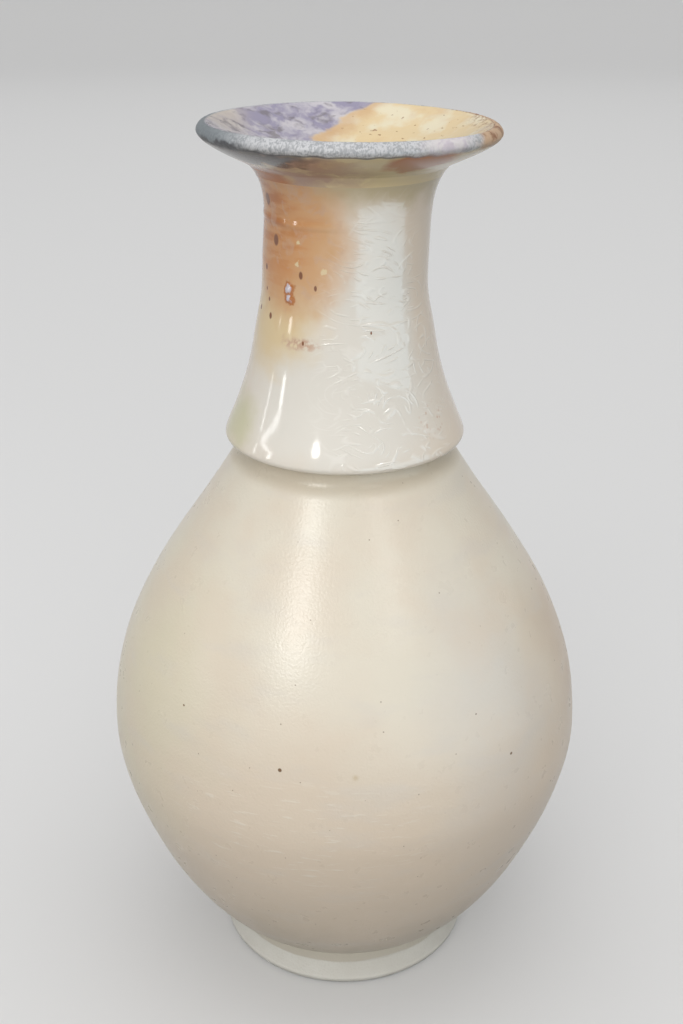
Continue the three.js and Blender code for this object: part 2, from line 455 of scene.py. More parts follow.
# %% The belly's finish
def satin_glaze():
    material, tree, place = new_finish("satin_glaze")
    loose = wandering(tree, place, 30, 9)
    level = height_of(tree, loose)
    colour = layer(tree, between(tree, level, *WARM_LEVELS), CREAM, WARM_CREAM)
    # Painted shade: the glaze darkens towards the foot
    colour = layer(tree, between(tree, level, *FOOT_SHADE_LEVELS), colour, FOOT_SHADE_CREAM)
    left = patch(tree, loose, *GREEN_SIDE, 0.8)
    colour = layer(tree, both(tree, left, 0.8), colour, GREEN_CREAM)
    right = patch(tree, loose, *GREY_SIDE, 0.8)
    colour = layer(tree, both(tree, right, 0.6), colour, GREY_CREAM)
    edge = patch(tree, loose, *TAN_SIDE, 0.8)
    colour = layer(tree, edge, colour, TAN_CREAM)
    mottle = between(tree, clouds(tree, place, 26, 5), 0.4, 0.66)
    colour = layer(tree, both(tree, mottle, 0.5), colour, WARM_CREAM)
    streaks = clouds(tree, stretched(tree, place, (1, 1, 3)), 22, 6)
    colour = layer(tree, both(tree, between(tree, streaks, 0.5, 0.75), 0.3), colour, GREY_CREAM)
    scratches = clouds(tree, stretched(tree, place, (1, 1, 7)), 7, 4)
    worn = patch(tree, loose, *WORN_FRONT, 0.7)
    worn = both(tree, worn, between(tree, scratches, 0.58, 0.68))
    colour = layer(tree, both(tree, worn, 0.4), colour, PALE_CREAM)
    freckles = specks(tree, place, 5, 0.3, 0.5)
    colour = layer(tree, both(tree, freckles, 0.6), colour, IRON)
    colour = iron_marks(tree, place, colour, FAINT_MARKS, FAINT_TAN, 1.0)
    colour = iron_marks(tree, place, colour, IRON_MARKS, IRON)
    # Painted shade in the cove under the collar
    level = height_of(tree, place)
    cove_shade = both(tree, between(tree, level, *COVE_SHADE_LEVELS), 0.6)
    colour = layer(tree, cove_shade, colour, COVE_SHADE_CREAM)

    grain = clouds(tree, place, GRAIN_SIZE, 2)
    skin = clouds(tree, place, SKIN_SIZE, 3)
    roughness = combine(tree, "ADD", 0.24, both(tree, skin, 0.10))
    normal = bumped(tree, grain, GRAIN_DEPTH)
    normal = bumped(tree, skin, SKIN_DEPTH, normal)
    normal = bumped(tree, both(tree, worn, scratches), SCRATCH_DEPTH, normal)
    shader = fill_shader(tree, colour, roughness, normal)
    shader.inputs["Specular IOR Level"].default_value = 0.32
    return material


# %% [markdown]
# ## Gloss glaze with flashing
# The neck stood where the flames and the ash went past. Its glaze is thick, clear and glossy, with
# a web of raised crackle strands, and on the left the flame left an orange-brown flash with iron
# spots. The white over the front and down the right is a painted reflection of the window, and the
# strands are painted paler as a highlight on their raised tops. Each of these is one layer: a soft
# patch with a wandering edge, over the glaze below it. A patch is named with its centre and its
# radii. The lean moved the upper marks to the right, so their places include it. The crackle stays
# off one smooth spot, where the glaze mirrors a lamp.

# %% The neck's colours and marks
GLAZE_BEIGE = paint(231, 218, 201)
REFLECTION_WHITE = paint(232, 228, 219)
GLAZE_YELLOW = paint(228, 206, 164)
GLAZE_GREEN = paint(208, 206, 170)
GLAZE_OLIVE = paint(204, 190, 156)
FLASH_PEACH = paint(216, 172, 126)
FLASH_ORANGE = paint(208, 144, 88)
FLASH_BROWN = paint(186, 118, 64)
FLASH_PINK = paint(206, 172, 148)
DARK_IRON = paint(134, 86, 58)
LILAC_WHITE = paint(214, 206, 214)
WEB_HIGHLIGHT_WHITE = paint(246, 243, 236)
REFLECTED_FRONT = ((-2, -26, 203), (44, 34, 34))
REFLECTED_RUN = ((9, -24, 222), (14, 22, 48))
YELLOW_SIDE = ((-20, -16, 226), (20, 20, 20))
GREEN_COLLAR = ((-34, -13, 194), (14, 18, 12))
OLIVE_LEVELS = (257, 265)
FLASH_HALO = ((-17, -17, 250), (25, 27, 29))
FLASH_HEART = ((-20, -14, 252), (20, 23, 25))
BURNT_HEART = ((-23, -11, 257), (15, 19, 20))
SMUDGE = ((-13, -23, 220.8), (9, 8, 2.6))
STIPPLED_SIDE = ((26, -21, 197.5), (8, 8, 7))
SMOOTH_SPOT = ((-10, -30, 200), (11, 16, 24))
CRACKLED_FRONT = ((14, -30, 210), (28, 30, 62))
NECK_SPOTS = [(-21.8, -10.2, 259.4, 1.1), (-19.4, -13.8, 248.6, 1.0), (-12.4, -20.9, 240.1, 0.7),
              (-8.3, -23.1, 236.9, 0.5), (-22.4, -9.1, 239.9, 0.6), (-22.3, -9.7, 233.7, 0.5),
              (-21.8, -11.8, 231.0, 0.4), (-24.5, -6.6, 227.2, 0.5), (-21.5, -13.7, 226.5, 0.6),
              (7.4, -25.0, 224.6, 0.3), (-29.1, -18.8, 194.7, 0.4), (-12.0, -24.0, 221.2, 0.4)]
PALE_SPOTS = [(-13.0, -20.3, 249.0, 0.9), (-13.1, -20.5, 243.4, 0.8), (-5.6, -23.8, 241.6, 0.9)]
BLISTERS = [(-15.8, -18.8, 235.6, 2.0), (-15.8, -19.0, 233.0, 1.7)]
SWELL_SIZE = 6
SWELL_DEPTH = 0.012
WEB_DEPTH = 0.1


# %% The neck's finish
def gloss_glaze():
    material, tree, place = new_finish("gloss_glaze")
    loose = wandering(tree, place, 9, 3)
    ragged = wandering(tree, place, 2.5, 0.9)
    colour = flashed(tree, place, loose)
    smudge = patch(tree, ragged, *SMUDGE, 0.8)
    smudge = both(tree, smudge, between(tree, clouds(tree, place, 1.3), 0.35, 0.6))
    colour = layer(tree, smudge, colour, FLASH_PINK)
    stippled = patch(tree, ragged, *STIPPLED_SIDE, 0.9)
    stipple = both(tree, stippled, specks(tree, place, 1.3, 0.55, 0.8))
    colour = layer(tree, both(tree, stipple, 0.7), colour, FLASH_PINK)
    for x, y, z, radius in BLISTERS:
        rim = patch(tree, ragged, (x, y, z), (radius * 1.35,) * 3, 0.3)
        heart = patch(tree, ragged, (x, y, z), (radius * 0.85,) * 3, 0.4)
        colour = layer(tree, rim, colour, FLASH_BROWN)
        colour = layer(tree, heart, colour, LILAC_WHITE)
    colour = iron_marks(tree, ragged, colour, PALE_SPOTS, GLAZE_YELLOW)
    tall = stretched(tree, place, (1, 1, 0.5))
    tall_spots = [(x, y, z / 2, radius) for x, y, z, radius in NECK_SPOTS]
    colour = iron_marks(tree, tall, colour, tall_spots, DARK_IRON)

    web = crackle(tree, place)
    # The strands are painted paler: a painted highlight on their raised tops
    colour = layer(tree, both(tree, web, 0.4), colour, WEB_HIGHLIGHT_WHITE)
    swell = clouds(tree, place, SWELL_SIZE, 2)
    roughness = combine(tree, "ADD", 0.06, both(tree, swell, 0.05))
    normal = bumped(tree, swell, SWELL_DEPTH)
    smooth = patch(tree, place, *SMOOTH_SPOT, 0.4)
    raised = both(tree, web, combine(tree, "SUBTRACT", 1, smooth))
    normal = bumped(tree, raised, WEB_DEPTH, normal)
    shader = fill_shader(tree, colour, roughness, normal)
    shader.inputs["IOR"].default_value = 1.54
    return material


# %% Crackle and flashing
HILL_SIZE = 18
LINES_PER_HILL = 10
LINE_WIDTH = 0.36
# The turn of each set of strands in radians, and the size of its gaps in mm
STRAND_SETS = [(0.1, 7.0), (0.75, 6.0), (-0.7, 6.5)]


def arcs(tree, place, size, lines):
    """1 on thin curved lines: the contours of soft hills, like those on a map."""
    step = 0.5 / lines
    off_line = combine(tree, "PINGPONG", clouds(tree, place, size, 0.0), step)
    return between(tree, off_line, LINE_WIDTH * step, 0)


def crackle(tree, place):
    """Raised strands where the glaze wrinkled: sets of arcs that cross, broken up by clouds."""
    web = 0.0
    for turn, gaps in STRAND_SETS:
        inputs = {"Vector": place, "Rotation": (0, turn, 0), "Scale": (1, 1, 1.8)}
        leaning = add(tree, "Mapping", inputs).outputs["Vector"]
        broken = between(tree, clouds(tree, leaning, gaps, 1.0), 0.48, 0.6)
        strands = both(tree, arcs(tree, leaning, HILL_SIZE, LINES_PER_HILL), broken)
        web = combine(tree, "MAXIMUM", web, strands)
    return both(tree, web, patch(tree, place, *CRACKLED_FRONT, 0.4))


def flashed(tree, place, loose):
    """The neck's colours: beige, a painted white reflection over the front, a green tint and the
    flame's flash.
    """
    # Painted reflection of the window: white over the front and down the right
    colour = layer(tree, patch(tree, loose, *REFLECTED_FRONT, 0.6), GLAZE_BEIGE, REFLECTION_WHITE)
    colour = layer(tree, patch(tree, place, *REFLECTED_RUN, 0.4), colour, REFLECTION_WHITE)
    colour = layer(tree, patch(tree, loose, *YELLOW_SIDE, 0.7), colour, GLAZE_YELLOW)
    green = patch(tree, loose, *GREEN_COLLAR, 0.8)
    colour = layer(tree, both(tree, green, 0.8), colour, GLAZE_GREEN)
    level = height_of(tree, loose)
    colour = layer(tree, between(tree, level, *OLIVE_LEVELS), colour, GLAZE_OLIVE)
    halo = patch(tree, loose, *FLASH_HALO, 0.5)
    colour = layer(tree, halo, colour, FLASH_PEACH)
    bands = between(tree, clouds(tree, stretched(tree, place, (1, 1, 4)), 12, 5), 0.3, 0.62)
    flash = patch(tree, loose, *FLASH_HEART, 0.7)
    flash = both(tree, flash, combine(tree, "MAXIMUM", bands, 0.55))
    colour = layer(tree, flash, colour, FLASH_ORANGE)
    burnt = patch(tree, loose, *BURNT_HEART, 0.8)
    colour = layer(tree, both(tree, burnt, bands), colour, FLASH_BROWN)
    mottle = between(tree, clouds(tree, loose, 3.5, 5), 0.5, 0.7)
    return layer(tree, both(tree, both(tree, mottle, halo), 0.5), colour, FLASH_PINK)


# %% [markdown]
# ## Ash glaze on the mouth
# The mouth caught most of the ash. The lip is crusted and grey, the dish is lilac and white on the
# left and warm yellow on the right, and below the lip run streaks. The border in the dish runs
# aslant, so it is drawn where x minus y passes a level. The crust is real relief in the mesh, and
# its height is kept in a vertex attribute, so that the paint can follow the grains: pale on top, and
# between them dark stipple mixed with a painted shade.

# %% The mouth's colours and marks
ASH_SILVER = paint(208, 209, 212)
ASH_BLUE = paint(130, 138, 143)
ASH_SHADE = paint(122, 127, 132)
ASH_DARK = paint(70, 71, 75)
ASH_LILAC = paint(206, 197, 206)
ASH_WHITE = paint(222, 217, 218)
RIM_PEACH = paint(206, 174, 142)
RIM_BROWN = paint(150, 102, 68)
DISH_LILAC = paint(156, 151, 174)
DISH_WHITE = paint(203, 199, 205)
DISH_SMUDGE = paint(128, 122, 128)
DISH_CREAM = paint(204, 193, 180)
DISH_YELLOW = paint(230, 208, 166)
DISH_PALE = paint(234, 224, 196)
DISH_ORANGE = paint(206, 164, 122)
UNDER_MAUVE = paint(186, 156, 140)
UNDER_OLIVE = paint(224, 206, 162)
# Where the dish turns from lilac to yellow: along x minus y, and along x alone
SPLIT_LEVELS = (-33.5 * MM, -30.5 * MM)
SPLIT_SIDES = (-9.8 * MM, -7.4 * MM)
SPLIT_EDGE = (-23 * MM, -30.5 * MM)
PEACH_SIDES = (33.5 * MM, 37.5 * MM)
CREAM_SIDE = ((-42, 16, 277), (18, 26, 14))
CRUMBLED_SIDE = ((46, 8, 281), (13, 40, 9))
MAUVE_FRONT = ((-20, -26, 273), (36, 30, 14))
UNDER_FLASH = ((-24, -13, 266), (18, 16, 5))
BROWN_PATCH = ((21.5, -35, 273.5), (13, 12, 5.5))
CRUSTED_SIDE = ((-50, -12, 277), (36, 46, 20))
LILAC_LIP = ((29, -36, 279), (12, 12, 7))
SCORCHED_SIDE = ((-38, -28, 274), (38, 38, 3.7))
DARK_BORDER = ((-14, -44, 277), (46, 34, 20))
BROWN_BORDER = ((50, 8, 279), (26, 46, 12))


# %% The mouth's finish
def ash_glaze():
    material, tree, place = new_finish("ash_glaze")
    loose = wandering(tree, place, 7, 2.2)
    inside = add(tree, "Attribute", {}, attribute_name="inside").outputs["Fac"]
    crust = add(tree, "Attribute", {}, attribute_name="crust").outputs["Fac"]
    lip = add(tree, "Attribute", {}, attribute_name="lip").outputs["Fac"]
    colour = layer(tree, inside, under_dish(tree, place, loose), dish(tree, place, loose))
    colour = layer(tree, lip, colour, lip_band(tree, place, loose, crust))
    colour = lip_borders(tree, loose, lip, colour)

    fine = clouds(tree, stretched(tree, place, (1, 1, 0.5)), 0.4, 3)
    swell = clouds(tree, place, 4, 3)
    roughness = combine(tree, "ADD", 0.16, both(tree, lip, 0.3))
    normal = bumped(tree, swell, 0.03)
    normal = bumped(tree, both(tree, fine, lip), 0.15, normal)
    fill_shader(tree, colour, roughness, normal)
    return material


# %% The dish, the underside and the lip
def dish(tree, place, loose):
    """Lilac and white marbling to the left, warm yellow to the right."""
    marble = clouds(tree, wandering(tree, place, 7, 4), 9, 8)
    lilac = layer(tree, between(tree, marble, 0.38, 0.64), DISH_LILAC, DISH_WHITE)
    cream = patch(tree, loose, *CREAM_SIDE, 0.8)
    lilac = layer(tree, cream, lilac, DISH_CREAM)
    smudges = between(tree, clouds(tree, loose, 5, 8), 0.52, 0.7)
    lilac = layer(tree, both(tree, smudges, 0.8), lilac, DISH_SMUDGE)
    pale = between(tree, clouds(tree, place, 9, 6), 0.42, 0.62)
    yellow = layer(tree, pale, DISH_YELLOW, DISH_PALE)
    burnt = between(tree, clouds(tree, loose, 12, 6), 0.52, 0.72)
    yellow = layer(tree, both(tree, burnt, 0.3), yellow, DISH_ORANGE)
    torn = wandering(tree, place, 1.6, 0.9)
    flecks = specks(tree, stretched(tree, torn, (0.6, 1, 1)), 2.6, 0.5, 0.9)
    yellow = layer(tree, both(tree, flecks, 0.8), yellow, RIM_BROWN)
    crumbs = between(tree, clouds(tree, torn, 1.5, 4), 0.5, 0.58)
    crumbs = both(tree, crumbs, patch(tree, loose, *CRUMBLED_SIDE, 0.5))
    yellow = layer(tree, both(tree, crumbs, 0.7), yellow, RIM_BROWN)
    where = add(tree, "SeparateXYZ", {"Vector": loose})
    x, y = where.outputs["X"], where.outputs["Y"]
    split = combine(tree, "SUBTRACT", x, y)
    right = both(tree, between(tree, split, *SPLIT_LEVELS), between(tree, x, *SPLIT_SIDES))
    edge = between(tree, split, *SPLIT_EDGE)
    colour = layer(tree, right, lilac, yellow)
    return layer(tree, both(tree, both(tree, edge, right), 0.6), colour, DISH_ORANGE)


def under_dish(tree, place, loose):
    """Mauve streaks to the left of the front, olive glaze to the right, and a brown patch."""
    streaks = clouds(tree, stretched(tree, loose, (1, 1, 5)), 14, 5)
    mauve = patch(tree, loose, *MAUVE_FRONT, 0.5)
    mauve = both(tree, mauve, between(tree, streaks, 0.3, 0.55))
    colour = layer(tree, mauve, UNDER_OLIVE, UNDER_MAUVE)
    flash = patch(tree, loose, *UNDER_FLASH, 0.5)
    colour = layer(tree, flash, colour, FLASH_BROWN)
    brown = patch(tree, loose, *BROWN_PATCH, 0.4)
    return layer(tree, brown, colour, FLASH_BROWN)


def lip_band(tree, place, loose, crust):
    """Ash crust from the back left to the front, then lilac, then peach on the right."""
    left = patch(tree, loose, *CRUSTED_SIDE, 0.6)
    ash = layer(tree, left, ASH_SILVER, ASH_BLUE)
    stipple = clouds(tree, stretched(tree, place, (1, 1, 0.5)), 0.45, 4)
    # Dark stipple, with painted shade where the crust sits low between its grains
    grains = combine(tree, "ADD", both(tree, crust, 0.4), both(tree, stipple, 0.6))
    grains = between(tree, grains, 0.56, 0.42)
    ash = layer(tree, both(tree, grains, 0.55), ash, ASH_SHADE)
    peach = layer(tree, between(tree, clouds(tree, loose, 4, 6), 0.5, 0.68), RIM_PEACH, RIM_BROWN)
    where = add(tree, "SeparateXYZ", {"Vector": loose}).outputs["X"]
    right = between(tree, where, *PEACH_SIDES)
    colour = layer(tree, right, ash, peach)
    lilac = patch(tree, loose, *LILAC_LIP, 0.6)
    marbled = layer(tree, between(tree, clouds(tree, loose, 3, 6), 0.4, 0.6), ASH_LILAC, ASH_WHITE)
    return layer(tree, lilac, colour, marbled)


def lip_borders(tree, loose, lip, colour):
    """Scorched clay under the left of the crust, and broken glaze along its borders."""
    scorched = patch(tree, loose, *SCORCHED_SIDE, 0.35)
    colour = layer(tree, both(tree, scorched, 0.9), colour, ASH_DARK)
    border = both(tree, between(tree, lip, 0.03, 0.4), between(tree, lip, 0.98, 0.6))
    front = patch(tree, loose, *DARK_BORDER, 0.4)
    colour = layer(tree, both(tree, both(tree, border, front), 0.75), colour, ASH_DARK)
    right = patch(tree, loose, *BROWN_BORDER, 0.4)
    crumbs = between(tree, clouds(tree, loose, 1.2, 4), 0.42, 0.55)
    return layer(tree, both(tree, both(tree, border, right), crumbs), colour, RIM_BROWN)


# %% [markdown]
# ## The foot ring
# A ring turned from a coil of the same clay: it spreads slightly to its rounded edge and is hollow
# inside. Above its wavy line the glaze stands a tenth of a millimetre proud of the bare clay.

# %% The foot ring's sizes
FOOT_RING_WIDTH = 7.1
FOOT_LINE_SPREAD = 0.2
FOOT_EDGE_SPREAD = 1.9
FOOT_EDGE_ROUNDING = 2.5
FOOT_INNER_BEVEL = 1.3
GLAZE_COAT = 0.12
LINE_WANDER = 0.35
CLAY_WEAR = 0.06

foot_reach = reach("foot_ring")
foot_top_radius = foot_reach - FOOT_EDGE_SPREAD
foot_socket = foot_top_radius - FOOT_RING_WIDTH
line_radius = foot_top_radius + FOOT_LINE_SPREAD
print(f"the foot stands on a ring {2 * foot_reach:.1f} mm across")


# %% Turn the foot ring
def foot_outline():
    table = at(foot_reach - FOOT_EDGE_ROUNDING, 0)
    edge = at(foot_reach, FOOT_EDGE_ROUNDING)
    line = at(line_radius, GLAZE_LINE)
    bevel = at(foot_socket, FOOT_INNER_BEVEL)
    inner_table = at(foot_socket + FOOT_INNER_BEVEL, 0)
    return [
        *sweep(table, OUTWARDS, edge, UP, (0.5, 0.5), 0.4),
        *straight(edge, line, 0.35)[1:],
        *straight(line, at(foot_top_radius, foot_top), 0.35)[1:],
        *straight(at(foot_socket, foot_top), bevel, 1.5),
        *straight(bevel, inner_table, 0.5)[1:],
    ]


def foot_relief(point):
    outside = hypot(point.x, point.y) > foot_socket + FOOT_RING_WIDTH / 2
    if not outside or point.z < FOOT_EDGE_ROUNDING:
        return 0
    line = GLAZE_LINE + LINE_WANDER * unevenness(point, 16)
    coat = GLAZE_COAT * (smooth_step(point.z, line - 0.4, line + 0.3) - 1)
    return coat - CLAY_WEAR * abs(unevenness(point, 5))


foot_mesh = turned(foot_outline(), TURN_STEPS)
carved(foot_mesh, foot_relief)
foot_ring = section("vase_foot_ring", foot_mesh, "foot_ring", bare_clay())

# %% [markdown]
# ## The belly
# The largest section: it rises steeply from its seat, is widest below the middle, and closes in a
# nearly straight shoulder to the cove under the collar. Inside are the floor, the wall and the
# short tongue that the neck stands round. Its fine rings come from the fingers of the thrower.

# %% The belly's sizes
UNDERSIDE_OVERHANG = 3.7
UNDERSIDE_RISE = 2.5
UNDERSIDE_ANGLE = 33
BELLY_HEIGHT = 72.9
SHOULDER_STEP = 3.6
SHOULDER_ANGLE = 122
COVE_RADIUS = 32.7
COVE_HEIGHT = 6.4
COVE_EDGE_STEP = 2
COVE_EDGE_HEIGHT = 4.6
COVE_EDGE_ANGLE = 140
BELLY_WALL = 5
BASE_DOME = 0.8
FLOOR_THICKNESS = 8.9
JOINT_CLEARANCE = 0.3
TONGUE_WIDTH = 2.6
THROAT_SEAT_WIDTH = 3.2
RING_PITCH = 7.5
RING_DEPTH = 0.012
WAVE_PITCH = 24
WAVE_DEPTH = 0.04
OUT_OF_ROUND = 0.35

belly_radius = reach("body")
tongue_radius = COVE_RADIUS - THROAT_SEAT_WIDTH - JOINT_CLEARANCE
throat_radius = tongue_radius - TONGUE_WIDTH
print(f"the belly is {2 * belly_radius:.1f} mm across and its throat {2 * throat_radius:.1f} mm")


# %% The belly's outline
def belly_outline():
    widest = at(belly_radius, belly_seat + BELLY_HEIGHT)
    underside = at(foot_top_radius + UNDERSIDE_OVERHANG, belly_seat + UNDERSIDE_RISE)
    shoulder = at(COVE_RADIUS + SHOULDER_STEP, belly_top - COVE_HEIGHT)
    cove_edge = at(COVE_RADIUS + COVE_EDGE_STEP, belly_top - COVE_EDGE_HEIGHT)
    inner_shoulder = across(shoulder, SHOULDER_ANGLE, BELLY_WALL)
    inner_widest = at(belly_radius - BELLY_WALL, widest.y)
    floor = low("body") + FLOOR_THICKNESS
    floor_edge = at(underside.x - BELLY_WALL / 2, floor)
    key = foot_socket - JOINT_CLEARANCE
    shoulder_down = SHOULDER_ANGLE - 180
    underside_down = UNDERSIDE_ANGLE - 180
    return [
        at(0, low("body") + BASE_DOME),
        *straight(at(key - BELLY_WALL, low("body")), at(key, low("body")), 3),
        *sweep(at(foot_top_radius, belly_seat), UP, underside, UNDERSIDE_ANGLE, (0.4, 0.4), 0.4),
        *sweep(underside, UNDERSIDE_ANGLE, widest, UP, (0.222, 0.254), 0.95)[1:],
        *sweep(widest, UP, shoulder, SHOULDER_ANGLE, (0.398, 0.346), 0.95)[1:],
        *sweep(shoulder, SHOULDER_ANGLE, cove_edge, COVE_EDGE_ANGLE, (0.35, 0.35), 0.4)[1:],
        *sweep(cove_edge, COVE_EDGE_ANGLE, at(COVE_RADIUS, belly_top), UP, (0.4, 0.4), 0.4)[1:],
        *straight(at(tongue_radius, belly_top), at(tongue_radius, top("body")), 2),
        *straight(at(throat_radius, top("body")), at(throat_radius, belly_top), 2),
        *sweep(at(throat_radius, belly_top), DOWN, inner_shoulder, shoulder_down, (0.3, 0.3), 2)[1:],
        *sweep(inner_shoulder, shoulder_down, inner_widest, DOWN, (0.346, 0.398), 5)[1:],
        *sweep(inner_widest, DOWN, floor_edge, underside_down, (0.254, 0.222), 5)[1:],
        *straight(at(floor_edge.x - BELLY_WALL, floor), at(BELLY_WALL, floor), 9),
        at(0, floor),
    ]


# %% Turn the belly
def belly_relief(point):
    """Finger rings and a slight out-of-round, all of it inwards, so the belly keeps its size."""
    at_joint = point.z > belly_top - COVE_HEIGHT or point.z < belly_seat + UNDERSIDE_RISE
    if at_joint:
        return 0
    rings = RING_DEPTH * (1 + ripple(point, RING_PITCH)) * (0.6 + unevenness(point, 40))
    waves = WAVE_DEPTH * (1 + ripple(point, WAVE_PITCH))
    round_off = OUT_OF_ROUND * abs(unevenness(point, 85))
    fade = smooth_step(point.z, belly_seat + UNDERSIDE_RISE, belly_seat + 4 * UNDERSIDE_RISE)
    fade *= 1 - smooth_step(point.z, belly_top - 3 * COVE_HEIGHT, belly_top - COVE_HEIGHT)
    return -(rings + waves + round_off) * fade


belly_mesh = turned(belly_outline(), TURN_STEPS, closed=False)
carved(belly_mesh, belly_relief)
satin = satin_glaze()
belly = section("vase_belly", belly_mesh, "body", satin)

# %% [markdown]
# ## The neck
# The neck starts with a rolled collar that overhangs the shoulder, flares inwards to a waist and
# opens again under the mouth. It has a raised throwing ridge at the left of the front, and two
# blisters where ash landed and boiled; both are low mounds in the mesh.

# %% The neck's sizes
COLLAR_HEIGHT = 2.4
COLLAR_EDGE_OVERHANG = 1.8
COLLAR_EDGE_HEIGHT = 0.3
COLLAR_EDGE_ANGLE = 10
FLARE_RADIUS = 27.7
FLARE_HEIGHT = 31.1
FLARE_ANGLE = 100
WAIST_RADIUS = 24.56
WAIST_HEIGHT = 57.7
NECK_TOP_RADIUS = 26.7
NECK_TOP_ANGLE = 62
NECK_WALL = 5
RIDGE_LEVEL = 254
RIDGE_HEIGHT = 0.34
RIDGE_HALF_WIDTH = 1.6
RIDGE_WANDER = 0.8
RIDGE_STARTS = (-110, -60)
RIDGE_ENDS = (-25, 10)
NECK_RING_PITCH = 8.5
NECK_RING_DEPTH = 0.01
NECK_WOBBLE = 0.04
BLISTER_HEIGHT = 0.5
BLISTER_ROUGHNESS = 0.6

throat_socket = COVE_RADIUS - THROAT_SEAT_WIDTH
mouth_bore = NECK_TOP_RADIUS - NECK_WALL
mouth_tongue = mouth_bore + TONGUE_WIDTH
print(f"the neck's bore is {2 * (WAIST_RADIUS - NECK_WALL):.1f} mm at its waist")


# %% The neck's outline
def neck_outline():
    edge = at(COVE_RADIUS + COLLAR_EDGE_OVERHANG, neck_seat + COLLAR_EDGE_HEIGHT)
    collar = at(reach("neck"), neck_seat + COLLAR_HEIGHT)
    flare = at(FLARE_RADIUS, neck_seat + FLARE_HEIGHT)
    waist = at(WAIST_RADIUS, neck_seat + WAIST_HEIGHT)
    neck_end = at(NECK_TOP_RADIUS, neck_top)
    inner_waist = at(WAIST_RADIUS - NECK_WALL, waist.y)
    socket = top("body") + JOINT_CLEARANCE
    return [
        at(throat_socket, neck_seat),
        *sweep(at(COVE_RADIUS, neck_seat), OUTWARDS, edge, COLLAR_EDGE_ANGLE, (0.3, 0.3), 0.3),
        *sweep(edge, COLLAR_EDGE_ANGLE, collar, UP, (0.45, 0.35), 0.3)[1:],
        *sweep(collar, UP, flare, FLARE_ANGLE, (0.071, 0.53), 0.5)[1:],
        *sweep(flare, FLARE_ANGLE, waist, UP, (0.563, 0.55), 0.5)[1:],
        *sweep(waist, UP, neck_end, NECK_TOP_ANGLE, (0.312, 0.304), 0.5)[1:],
        *straight(at(mouth_tongue, neck_top), at(mouth_tongue, top("neck")), 1),
        *straight(at(mouth_bore, top("neck")), at(mouth_bore, neck_top), 1),
        *sweep(at(mouth_bore, neck_top), DOWN, inner_waist, DOWN, (0.304, 0.312), 2)[1:],
        *sweep(inner_waist, DOWN, at(throat_radius, socket), FLARE_ANGLE - 180, (0.35, 0.35), 3)[1:],
        at(throat_socket, socket),
    ]


# %% Turn the neck
def mound(point, centre, radius):
    """A low round hill, 1 in its middle and 0 from its radius on."""
    share = 1 - min((point - Vector(centre)).length / radius, 1) ** 2
    return share * share


def neck_relief(point):
    outside = hypot(point.x, point.y) > WAIST_RADIUS - NECK_WALL / 2
    if not outside or point.z < neck_seat + 1 or point.z > neck_top - 1:
        return 0
    where = azimuth(point)
    left = smooth_step(where, *RIDGE_STARTS) * (1 - smooth_step(where, *RIDGE_ENDS))
    ridge_level = RIDGE_LEVEL + RIDGE_WANDER * unevenness(point, 20)
    ridge = RIDGE_HEIGHT * left * (1 - smooth_step(abs(point.z - ridge_level), 0, RIDGE_HALF_WIDTH))
    rings = NECK_RING_DEPTH * ripple(point, NECK_RING_PITCH) + NECK_WOBBLE * unevenness(point, 30)
    blister = sum(
        mound(point, (x - LEAN * smooth_step(z, LEAN_FROM, LEAN_TO), y, z), radius)
        for x, y, z, radius in BLISTERS
    )
    rough = 1 + BLISTER_ROUGHNESS * unevenness(point, 0.8)
    fade = smooth_step(point.z, neck_seat + 1, neck_seat + 8)
    fade *= 1 - smooth_step(point.z, neck_top - 6, neck_top - 1)
    return (ridge + rings) * fade + BLISTER_HEIGHT * rough * blister


neck_mesh = turned(neck_outline(), NECK_STEPS)
carved(neck_mesh, neck_relief)
gloss = gloss_glaze()
neck = section("vase_neck", neck_mesh, "neck", gloss)

# %% [markdown]
# ## The mouth
# A shallow dish with a bevelled lip. Before its relief is carved, each point is told what it is:
# on the inside, on the lip or under the dish. These marks are vertex attributes, soft at their
# borders, so the finish can tell the sides of a thin wall apart where the places alone can't.

# %% The mouth's sizes
DISH_RADIUS = 31.9
DISH_HEIGHT = 4.35
DISH_ANGLE = 25
LIP_DEPTH = 2.4
LIP_ROUNDING = 2.2
CREST_WIDTH = 1.4
CREST_BEVEL = 0.5
MOUTH_WALL = 4.5
CRUST_DEPTH = 0.3
GROOVE_HEIGHT = 2.6
GROOVE_DEPTH = 0.16
GROOVE_HALF_WIDTH = 0.7
GROOVE_WANDER = 0.5

mouth_seat_radius = NECK_TOP_RADIUS + slip_thickness / tan(radians(NECK_TOP_ANGLE))
print(f"the mouth is {2 * lip_radius:.1f} mm across its lip")


